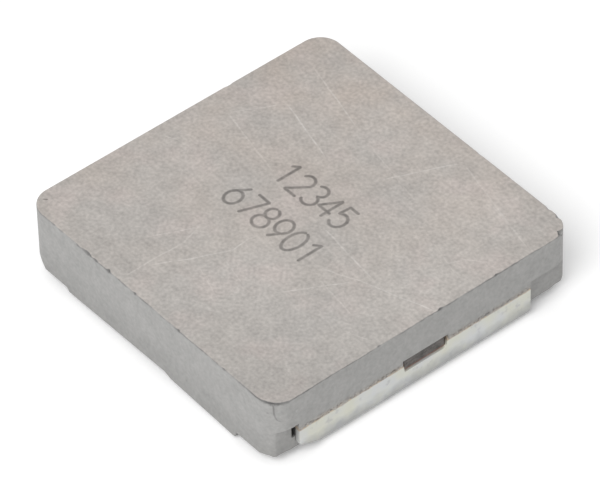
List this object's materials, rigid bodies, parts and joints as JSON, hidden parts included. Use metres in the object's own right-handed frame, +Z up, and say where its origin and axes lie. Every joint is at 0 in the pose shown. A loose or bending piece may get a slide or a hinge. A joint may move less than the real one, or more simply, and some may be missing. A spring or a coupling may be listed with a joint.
{
  "type": "shielded smd inductor",
  "caption": "Low square shielded power inductor: a flat-wire coil sealed in a pressed iron-powder core, with folded terminals wrapped under opposite sides.",
  "frame": {"origin": "middle of the core, on the board plane under the feet", "axes": "+X out of the terminal face beside the break in the land's edge, +Y along the terminals, +Z up from the board to the top face"},
  "size_m": [0.0172, 0.0172, 0.0039],
  "materials": {
    "pressed_powder": "pressed iron powder, matt and fine-grained, scuffed on top",
    "copper_wire": "enamelled flat copper wire, darkened at its cut ends",
    "tinned_sheet": "matt tin plating on copper sheet"
  },
  "bodies": {
    "root": {"powder_core": "pressed_powder", "coil_winding": "copper_wire", "terminal_right": "tinned_sheet", "terminal_left": "tinned_sheet"}
  },
  "joints": []
}
